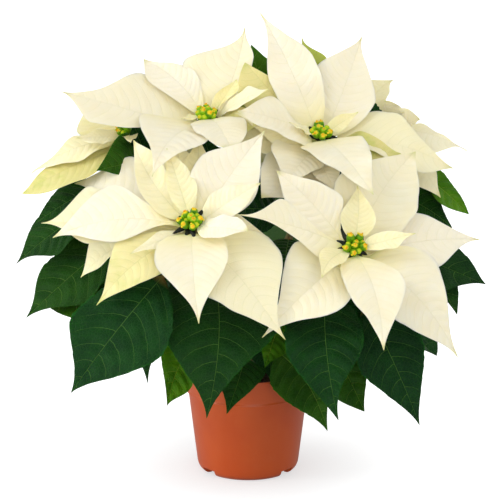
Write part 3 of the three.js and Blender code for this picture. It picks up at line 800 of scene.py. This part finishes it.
whorl("top_left", [
    bract(28, (-180, 22, 372), (-.1, -.6, .8), 6, (31, .75, 1.4, 1.9), (47, .45, .4, 2.1), bend=1, age=.1,
          pleat=.28),
    bract(12, (-88, -94, 313), (-.1, -.6, .8), 9, (33, .4, .9, 1.7), (45, .2, .9, 2.1), bend=-10,
          pleat=.28),
    bract(9, (-16, -42, 329), (.1, -.6, .8), 9, (25, .45, .7, .6), (26, .35, .9, .6)),
    bract(19, (20, 8, 377), (.1, -.5, .9), 6, (13, .65, .7, 2), (11, .65, 1.4, 1.6), bend=4, age=.25),
    bract(20, (-3, 85, 425), (-.1, -.9, .4), 5, (51, .45, .9, 2.1), (14, .7, .9, 2), bend=-6, age=.1),
    bract(14, (-102, 68, 396), (.1, -.8, .5), 4, (20, .7, .9, 1.1), (18, .5, 1.1, 1.6), bend=-8, cup=.1),
], [
    bract(8, (-11, 38, 381), (.1, -.8, .5), 2, (8, .4, .9, 1.3), (7, .8, 2.4, .9), cup=.2, age=.7),
    bract(16, (21, 5, 349), (0, -.8, .6), 4, 14, 18, age=.85),
    bract(24, (34, 55, 378), (0, -.9, .4), 2, 9, age=1.4),
    bract(22, (37, 33, 336), (0, -.9, .4), 3, 12, age=.9),
    bract(6, (-64, 8, 348), (-.1, -.5, .9), 2, 5, age=.7),
])
whorl("top_right", [
    bract(15, (12, 78, 440), (0, -.9, .4), 6, (24, .45, .55, 1.9), (25, .5, .6, 1.7), bend=-4),
    bract(14, (-10, -20, 361), (-.1, -.6, .8), 7, (25, .2, .9, .6), (26, .55, 2.2, 1.6), bend=-2),
    bract(22, (112, 82, 416), (0, -.9, .4), 6, (32, .55, .9, 1.6), (32, .45, .7, 1.8), bend=-2,
          pleat=.28),
    bract(32, (197, -4, 302), (.2, -.5, .8), 20, (43, .4, .5, 1.9), (31, .75, 1.5, 1.3), bend=5, age=.35),
    bract(12, (115, -106, 299), (.1, -.7, .8), 12, (29, .25, .9, 1.2), (29, .2, .5, 1.1), bend=-1,
          pleat=.22),
], [
    bract(7, (106, 12, 354), (.1, -.8, .6), 2, 8, age=.6),
    bract(30, (146, -12, 318), (.2, -.7, .6), 4, 22, 20, age=.95),
    bract(18, (-13, 12, 353), (-.1, -.7, .7), 5, (20, .45, .8, 1.6), 16, age=.35),
    bract(20, (53, 75, 416), (.1, -.8, .5), 3, 8, (20, .75, .9, 2), age=1.5),
    bract(26, (-3, 60, 394), (-.1, -.8, .5), 4, (29, .7, .9, .9), (10, .6, .9, 1.2), bend=-1, age=.85),
    bract(9, (39, -10, 348), (-.1, -.6, .8), 2, 6, age=.5),
    bract(24, (-22, 15, 331), (0, -.9, .4), 4, 14, age=.4),
    bract(22, (33, -52, 294), (-.1, -.8, .6), 8, 20, (34, .4, .6, 1.6)),
    bract(28, (85, -55, 287), (.1, -.8, .6), 6, 15, (14, .45, .9, 1.3), bend=-4),
    bract(34, (13, -40, 281), (-.2, -.7, .6), 8, (48, .5, .9, 1.3), (37, .4, .9, 1), bend=8),
])
whorl("far_left", [
    bract(20, (-219, 15, 273), (-.3, -.5, .8), 12, (28, .55, .9, .85), (24, .4, .9, 1.2), bend=4, age=.95,
          pleat=.33),
    bract(14, (-211, 28, 290), (-.3, -.5, .8), 12, (22, .5, 1.2, 1.6), (15, .45, 2.1, 2.6), bend=-4,
          age=.5),
], [
    bract(8, (-166, 25, 326), (-.3, -.5, .8), 5, (13, .7, .9, 1.2), 11, bend=4, age=.35),
    bract(13, (-154, 75, 356), (-.2, -.7, .6), 4, (34, .6, .8, 1.1), 14, age=.6),
    bract(6, (-113, 12, 324), (0, -.8, .6), 3, 8, age=.6),
])
whorl("far_right", [
    bract(14, (214, 40, 310), (.3, -.5, .9), 3, (12, .25, 1.6, 2.5), (51, .55, .7, 2.8), bend=7, age=.3),
], [
    bract(12, (145, 100, 370), (0, -.8, .6), 3, (30, .8, .9, 1.6), (12, .6, .9, 1.5), bend=16, age=.4),
    bract(22, (187, 15, 269), (.3, -.5, .8), 10, 18, (31, .6, .9, 1.2), age=.3),
    bract(13, (134, 50, 358), (0, -.9, .4), 2, 5, (19, .2, .6, .6), age=.35),
    bract(18, (168, 48, 340), (0, -.9, .4), 2, (16, .6, .9, .9), 10, age=.3),
])
whorl("back", [
    bract(14, (109, 145, 272), (0, .6, .8), 10, 28),
    bract(20, (51, 189, 232), (0, .6, .8), 9, 30),
    bract(22, (-87, 163, 254), (0, .6, .8), 10, 30),
], [
    bract(12, (-23, 192, 235), (0, .6, .8), 8, 27, age=.2),
    bract(16, (-89, 114, 311), (0, .6, .8), 9, 26, age=.2),
    bract(34, (83, 106, 319), (0, .6, .8), 8, 24),
    bract(8, (10, 181, 270), (0, .6, .8), 5, 11, age=.6),
    bract(7, (-39, 147, 301), (0, .6, .8), 4, 9, age=.7),
    bract(7, (48, 144, 304), (0, .6, .8), 4, 9, age=.7),
    bract(11, (-24, 167, 279), (0, .6, .8), 4, 10, age=.6),
])


# ----------
# Cyathia. The true flowers: a domed cluster of little green cups in the middle of each whorl. A cup has
# a scalloped rim, a yellow nectar gland on one side, and a few orange-tipped stamens. They stand on the
# receptacle, drawn as a dome painted near black: painted shade for the dark gaps among the bracts' stalks.
cup_radius = 3.7
cup_height = 9.5
cup_foot_depth = 3.5
cup_top_height = 5
cup_foot_share = 0.55
# The dome under the cups, which is painted near black as painted shade.
shade_dome_radius = 9.0
shade_dome_depth = 5
shade_dome_height = 2.6
hollow_spread = 0.17

# Each cup's top, right and up from the middle of the cluster, its size, and how ripe it is.
cups = {
    "front_left": [(-5, 6, 1, 1), (3, 10, 1, 1), (1, 2, 1.1, .2), (4, -1, 1, .5), (10, 0, 1.1, 1),
        (-11, -2, 1, 1), (-5, -7, 1.05, .9), (4, -9, 1, 1), (-5, -1, .7, .1), (7, 6, .75, .1),
        (-9, 5, .7, .1), (8, -6, .8, .1)],
    "front_right": [(-3, 7, 1.15, 1), (7, 8, 1.05, 1), (10, 2, .75, .3), (2, 1, .9, .6), (0, -3, 1, .9),
        (9, -4, 1.1, 1), (-9, -5, 1.05, .8), (-2, -11, 1, .9), (4, -9, .8, .1), (-7, 1, .7, .1)],
    "top_left": [(-8, 2, 1, .6), (-4, 1, .9, .9), (-2, 7, .95, .9), (1, 3, .9, .2), (-1, -5, 1.1, .6),
        (6, -8, 1.1, 1), (9, -1, 1, .7), (-4, -14, .85, .4), (4, -1, .7, .1), (-8, -6, .9, .2),
        (1, -13, .8, .1), (11, -8, .8, .2)],
    "top_right": [(-3, 8, .95, 1), (1, 9, .95, 1), (-2, 0, 1.05, .7), (-10, -3, .9, .2), (-6, -8, 1, .8),
        (3, -3, .95, .2), (8, -7, 1.15, .9), (1, -12, 1, .9), (7, 2, .85, .1), (-8, 3, .7, .1)],
}
plain_cups = [(0, 0, 1.1, .9), (7, 2, 1, .8), (3, 8, 1, .9), (-5, 6, .9, .4), (-8, -1, 1, .9),
    (-4, -7, 1.05, .7), (4, -7, 1, .9), (10, -5, .75, .1), (-9, 6, .7, .2)]

# Hollows between the stalks of the bracts, where the dome's painted shade reaches out: angle from the
# right, and how far out it reaches.
hollows = {
    "front_left": [(57, 20), (97, 15), (150, 15), (217, 20), (258, 19), (288, 19), (340, 15)],
    "front_right": [(112, 24), (150, 17), (40, 15), (185, 17), (258, 15), (298, 18), (326, 15)],
    "top_left": [(63, 16), (187, 17), (346, 17), (115, 12), (237, 18)],
    "top_right": [(130, 16), (159, 15), (65, 13), (25, 13), (197, 17), (342, 17), (301, 18), (322, 18)],
}
plain_hollows = [(40, 14), (115, 14), (190, 14), (250, 15), (320, 14)]


def cup_marks(lip=0.0, stamen=0.0, ripe=0.0, deep=0.0):
    """What the material needs to know of a part: how much of it is yellow lip, orange stamen, ripe green
    and painted shade (deep), which goes near black on the dome under the cups and low on each cup."""
    return {"lip": lip, "stamen": stamen, "ripe": ripe, "deep": deep}


def cup_skin(foot, axis, size):
    """A cup: its girth grows from 0.4 of its radius at the foot to 1 halfway up and closes over its
    crown, with five faint lobes towards the crown."""
    right, up, axis = facing(axis)
    height = np.array([0, .12, .3, .5, .7, .85, .94, 1.0, 1.02, 1.03])[:, None]
    girth = np.array([.4, .72, .95, 1, .97, .86, .72, .52, .3, .05])[:, None]
    turn = clockwise(20)[None, :]
    lobes = 1 + 0.07 * np.cos(5 * turn) * height
    reach = (cup_radius * size * girth * lobes)[..., None]
    rise = (cup_height * size * height)[..., None]
    return foot + reach * outward(turn[..., None], right, up) + rise * axis, height


def flower_cluster(head, places, seed):
    """The cups of a head with their glands and stamens, and the dome that they stand on. The dome is the
    receptacle, painted near black as painted shade for the dark gaps round the cluster. Its edge reaches
    the dome's radius out, and (far - that radius) e^-(angle / hollow_spread)^2 more into each hollow
    between the bracts, where there is only shade."""
    middle = np.array(heads[head][0], float)
    right, up, axis = facing(heads[head][1])
    chance = np.random.default_rng(seed)
    around = clockwise(80)[None, :, None]
    reach = shade_dome_radius + 0 * around
    for angle, far in hollows.get(head, plain_hollows):
        off = (around - np.radians(angle) + np.pi) % (2 * np.pi) - np.pi
        reach += (far - shade_dome_radius) * np.exp(-((off / hollow_spread) ** 2))
    a = np.linspace(0.06, np.pi - 0.06, 9)[:, None, None]
    spread = reach * np.sin(a) * outward(around, right, up)
    shade_dome = middle - shade_dome_depth * axis + spread - shade_dome_height * np.cos(a) * axis
    # The whole dome is marked deep: painted shade, near black.
    parts = [{"points": shade_dome, "marks": cup_marks(deep=1.0)}]
    for aside, above, size, ripe in places:
        across = aside * right + above * up
        foot = middle - cup_foot_depth * axis + cup_foot_share * across
        way = unit(middle + cup_top_height * axis + across - foot)
        points, height = cup_skin(foot, way, size)
        lip = np.clip((height - 0.95) / 0.06, 0, 1) * (0.3 + 0.7 * ripe)
        # Painted shade: the lower part of each cup goes near black, for the shade between the cups.
        deep = np.clip(1 - height / 0.45, 0, 1)
        parts.append({"points": points, "marks": cup_marks(lip, ripe=ripe, deep=deep)})
        crown = foot + way * cup_height * size
        crown_right, crown_up, _ = facing(way)
        if ripe > 0.5:
            aim = outward(chance.uniform(0, 2 * np.pi), crown_right, crown_up)
            gland = crown + 0.75 * cup_radius * size * aim - 0.8 * way
            parts.append({"points": bead(gland, way, 1.0 * size, 0.7 * size, 7, 12),
                          "marks": cup_marks(lip=1.0, ripe=1.0)})
        for turn in chance.uniform(0, 2 * np.pi, round(3 * ripe)):
            spot = crown + 1.1 * size * outward(turn, crown_right, crown_up) + chance.uniform(0, 0.9) * way
            marks = cup_marks(lip=1.0, stamen=float(chance.uniform(0, 0.9)), ripe=1.0)
            parts.append({"points": bead(spot, way, 0.75 * size, 1.0 * size, 5, 7), "marks": marks})
    return parts


def cyathium():
    """Waxy green cups that turn yellow at the rim when ripe, with yellow glands and orange stamens."""
    material, tree, shader = surface(
        "cyathium", Roughness=0.38, Specular_IOR_Level=0.22, Subsurface_Weight=0.25,
        Subsurface_Radius=(0.6, 1.0, 0.2), Subsurface_Scale=0.0006)
    green = mixed(tree, spots(tree, 3.0, 3.0, 0.35, 0.65), (66, 122, 4), (112, 168, 10))
    yellow = mixed(tree, speckle(tree, 1.2, 2.0), (226, 214, 40), (250, 200, 30))
    body = layered(
        tree, (160, 206, 26),
        (mark(tree, "ripe"), 1.0, green),
        # Painted shade: parts marked deep, the dome and the feet of the cups, go near black.
        (mark(tree, "deep"), 1.0, (12, 20, 3)),
        (mark(tree, "lip"), 1.0, yellow),
        (mark(tree, "stamen"), 1.0, (244, 150, 16)))
    dress(tree, shader, body, speckle(tree, 0.6, 2.0), 0.06)
    return material


cup_material = cyathium()
for order, head in enumerate(heads):
    parts = flower_cluster(head, cups.get(head, plain_cups), 300 + order)
    piece(f"flower_cluster_{head}", parts, cup_material, [f"cyathia_{head}"])


# ----------
# Leaves. Dark green, satin, broad and pointed with faint teeth, each on a long stalk with a red flush.
# Pale side veins bow towards the point. Young leaves are a brighter, yellower green.
def green_leaf():
    """Leaf skin: deep green with cloudy variation, pale yellow-green midrib and side veins pressed in,
    a paler dull underside, and a stalk mottled red and green."""
    material, tree, shader = surface(
        "poinsettia leaf", IOR=1.42, Specular_IOR_Level=0.1, Subsurface_Weight=0.3,
        Subsurface_Radius=(0.35, 1.0, 0.12), Subsurface_Scale=0.0005)
    vein = apply_effect(tree, veins_of_a_blade, Rib_width=0.55, Vein_width=0.021, Net_size=3.2)
    age, underside = mark(tree, "age"), mark(tree, "underside")
    cloud = spots(tree, 18, 4.0, 0.3, 0.7)
    bright = mixed(tree, cloud, (58, 108, 8), (84, 134, 16))
    line_green = mixed(tree, age, (100, 146, 66), (168, 192, 70))
    red = mixed(tree, speckle(tree, 14), (138, 66, 48), (128, 136, 62))
    body = layered(
        tree, (13, 52, 18),
        (cloud, 1.0, (22, 68, 21)),
        (mark(tree, "tone"), 0.6, (9, 43, 20)),
        (age, 1.0, bright),
        (vein["Net"], 0.1, (64, 112, 44)),
        (underside, 0.6, (104, 144, 84)),
        (veins_shown(tree, vein, {"Midrib": 0.75, "Side veins": 0.55}), 1.0, line_green),
        (mark(tree, "stalk"), 1.0, red))
    matt = scaled(tree, speckle(tree, 12, 4.0), 0.2, 0.34)
    matt = scaled(tree, underside, 0.2, matt)
    dress(tree, shader, body, vein["Height"], 0.9, matt)
    return material


def leaf(branch, along, tip, looks, arch, left, right=None, **more):
    """One leaf: the branch that it grows on and the share of the branch's bow, then as a bract."""
    near, past = on_branch(branch, along), on_branch(branch, along - 0.01)
    way, run = np.array(tip, float) - near, unit(near - past)
    foot = near + stalk_foot * unit(way - (way @ run) * run)
    return {"base": foot, "tip": tip, "looks": looks, "arch": arch, "left": left, "right": right,
            "stalk": 0.25, "stalk_width": 1.5, "veins": 8, "pleat": 0.65, "wave": 1.6, "teeth": 0.03,
            **more}


leaves = {
    "front_left_outer": leaf("front_left", .92, (-162, -150, 123), (-.3, -.8, .6), 14,
        (55.5, .47, .9, 1.35), (45, .55, .9, 1.6), bend=1),
    "front_left": leaf("front_left", .62, (-37, -188, 111), (.1, -.7, .7), 16, (60, .25, .5, 1.7),
        (59, .35, .4, 1.4), bend=8, stalk=.16, age=.05),
    "front_right": leaf("front_right", .69, (82, -178, 106), (0, -.7, .7), 14, (35, .4, .5, 2),
        (38, .4, .5, 1.2), bend=-7, stalk=.2),
    "front_right_outer": leaf("front_right", .85, (159, -135, 87), (.3, -.8, .6), 12, (35, .4, .9, 1.5),
        (36, .45, .9, 1.5)),
    "front_low": leaf("front_right", .11, (74, -125, 78), (-.1, -.8, .6), 9, 24, (30, .4, 1, 1.3),
        bend=12, stalk=.2, age=.3),
    "left_low": leaf("far_left", .67, (-212, -45, 165), (-.4, -.6, .7), 10, (43, .65, .9, 1.7),
        (33, .6, .9, 1.5), bend=1, age=.15),
    "left_middle": leaf("far_left", .78, (-224, -10, 209), (-.4, -.5, .7), 12, (33, .6, .9, 1.9),
        (30, .55, 2.2, 1.65), bend=-5, stalk=.4, age=.1),
    "right_high": leaf("far_right", .95, (216, 25, 250), (.4, -.5, .7), 10, (17, .45, 1.2, 1.1),
        (21, .72, 2.2, 1.2), age=1),
    "right_middle": leaf("far_right", .67, (199, 15, 239), (.4, -.6, .6), 12, (24, .55, 1.5, 1.4),
        (25, .6, .9, 1.2), bend=9, age=.12),
    "right_low": leaf("far_right", .56, (230, -15, 190), (.4, -.6, .6), 12, (30, .6, .9, 1.2),
        (48, .65, .6, 1.9), bend=-10, age=.05),
    "back_right": leaf("back", .9, (60, 188, 150), (.2, .8, .6), 14, 38),
    "back_left": leaf("back", .67, (-70, 178, 135), (-.3, .8, .6), 14, 38),
    "side_right": leaf("far_right", .62, (150, 135, 140), (.6, .6, .5), 14, 36),
    "side_left": leaf("far_left", .56, (-165, 115, 150), (-.6, .6, .5), 14, 36),
}
leaf_material = green_leaf()
for order, (name, row) in enumerate(leaves.items()):
    skin_of_leaf = blade(seed=500 + order, **row)
    piece(f"green_leaf_{name}", [skin_of_leaf], leaf_material, [f"leaf_{name}"],
          crease=blade_crease)


def inner_leaves(side, rows):
    """Makes one piece of the small leaves on one side of the plant."""
    inner = [blade(seed=700 + len(side) * 20 + number, **row) for number, row in enumerate(rows)]
    piece(f"inner_leaves_{side}", inner, leaf_material, crease=blade_crease)


inner_leaves("front", [
    leaf("front_left", .07, (-20, -90, 83), (.1, -.8, .5), 14, (23, .2, .8, 1.3), 22, bend=2, age=.1),
    leaf("front_right", .34, (16, -85, 127), (0, -.8, .5), 5, 20, 14, age=.9),
    leaf("front_right", .45, (110, -95, 87), (.1, -.8, .5), 6, (19, .6, .9, 1.5), (25, .6, .9, 1), bend=2,
         age=.35),
    leaf("front_right", .25, (21, -45, 104), (0, -.9, .3), 5, 24),
    leaf("front_left", .6, (35, -80, 170), (.1, -.9, .3), 6, 20),
    leaf("front_right", .7, (116, -55, 138), (.1, -.9, .3), 4, 18, 16),
    leaf("front_left", .75, (-99, -64, 191), (0, -.9, .3), 3, 15, stalk=.1),
    leaf("front_right", .35, (32, -53, 226), (0, -.9, .3), 3, 11, stalk=.1),
    leaf("front_right", .55, (106, -62, 163), (.1, -.9, .3), 6, 20),
    leaf("top_right", .7, (98, -40, 226), (.1, -.9, .3), 4, 22),
    leaf("top_right", .62, (-30, -38, 270), (0, -.9, .4), 5, 24),
    leaf("top_right", .5, (34, -60, 219), (0, -.8, .5), 6, 20, age=.1),
])
inner_leaves("left", [
    leaf("front_left", .28, (-76, -95, 93), (-.2, -.8, .5), 6, (20, .7, .9, 1.4), (27, .3, .9, 1.5),
         bend=-12, age=1),
    leaf("far_left", .9, (-206, 10, 245), (-.4, -.5, .7), 10, (27, .4, .9, 1.3), (22, .6, .9, 1.3),
         age=.1),
    leaf("far_left", .56, (-190, -30, 170), (-.4, -.7, .5), 8, (32, .7, .9, .7), (24, .6, .9, 2.4),
         bend=24, age=.55),
    leaf("far_left", .5, (-165, 0, 172), (-.4, -.7, .5), 10, 26),
    leaf("far_left", .34, (-97, -40, 98), (-.3, -.8, .5), 6, 4, (25, .6, .9, 1.5), bend=-14),
    leaf("far_left", .97, (-145, -5, 300), (-.2, -.9, .3), 10, 16, (30, .35, .9, 1.2), stalk=.08, age=.3),
    leaf("far_left", .85, (-101, 75, 338), (0, -.9, .3), 4, 16),
    leaf("far_left", .8, (-188, -5, 219), (-.2, -.9, .4), 4, (15, .6, .9, 1.2), 13, age=.2),
    leaf("far_left", .97, (-112, 25, 343), (0, -.9, .3), 2, 12, stalk=.1),
    leaf("far_left", .84, (-205, 85, 205), (-.7, .3, .6), 12, 32),
    leaf("top_left", .5, (-138, 34, 126), (-.8, 0, .6), 12, 34),
])
inner_leaves("right", [
    leaf("front_right", .9, (180, -62, 132), (.4, -.6, .6), 6, (21, .75, 1.2, .9), (14, .5, .9, 1.3),
         bend=-8),
    leaf("far_right", .72, (201, -35, 165), (.4, -.6, .6), 8, (21, .65, .9, 1.1), 16, bend=6, age=.1),
    leaf("far_right", .78, (205, 75, 190), (.7, .3, .6), 12, 34),
    leaf("top_right", .45, (148, 30, 122), (.8, 0, .6), 12, 34),
])
inner_leaves("back", [
    leaf("top_right", .9, (3, 90, 407), (-.3, -.8, .5), 6, 14, (18, .6, .9, 1.1), bend=9, age=.6),
    leaf("top_right", .95, (139, 88, 349), (0, -.9, .4), 2, (15, .6, .9, 1), (14, .5, .9, 1.1)),
    leaf("top_left", .7, (-42, -10, 335), (0, -.9, .4), 3, 17),
    leaf("top_right", .9, (104, -17, 297), (0, -.9, .4), 3, 14),
    leaf("top_right", .8, (-24, -17, 289), (0, -.9, .4), 3, 14),
    leaf("back", .34, (10, 140, 95), (0, .8, .6), 12, 34),
    leaf("top_right", .78, (120, 150, 235), (.4, .7, .6), 10, 30),
    leaf("top_left", .78, (-85, 160, 245), (-.4, .7, .6), 10, 30),
])
